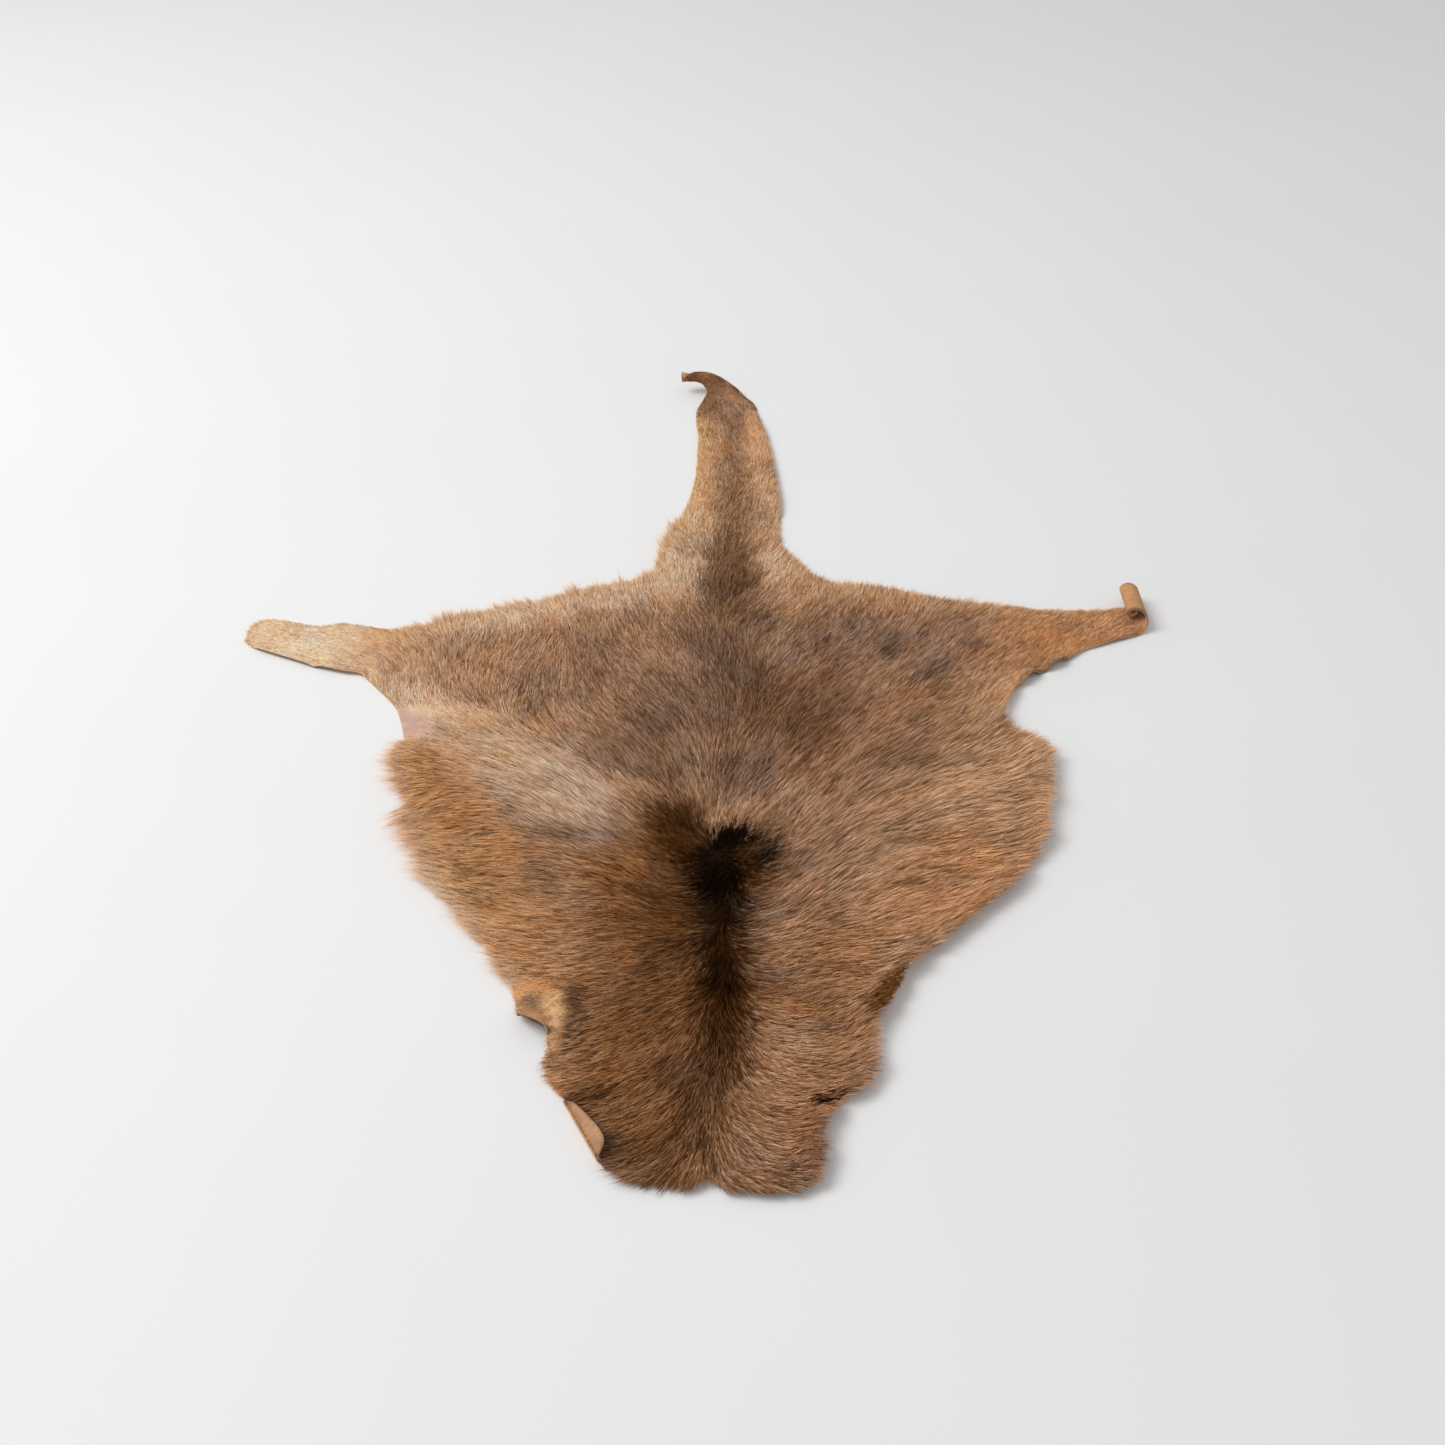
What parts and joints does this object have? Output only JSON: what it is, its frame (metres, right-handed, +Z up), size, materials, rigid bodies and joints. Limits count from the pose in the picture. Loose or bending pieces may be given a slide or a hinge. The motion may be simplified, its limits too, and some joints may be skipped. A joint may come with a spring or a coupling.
{
  "type": "kangaroo hide rug",
  "caption": "Whole tanned kangaroo skin with the fur on, laid flat as a rug, with hind legs and tail and one rolled foot.",
  "frame": {"origin": "middle of the rug's box, on the floor that it lies on", "axes": "+Z up, +Y along the back to the tail tip, +X to the rolled right foot, -Y to the neck edge"},
  "size_m": [0.9986, 1.2796, 0.0293],
  "materials": {
    "fur": "matte, short dense fur, golden tan on the flanks and grey-brown to near black along the back",
    "skin": "matte, bare tanned skin with fine pores"
  },
  "bodies": {
    "root": {"hide": "fur"}
  },
  "joints": []
}
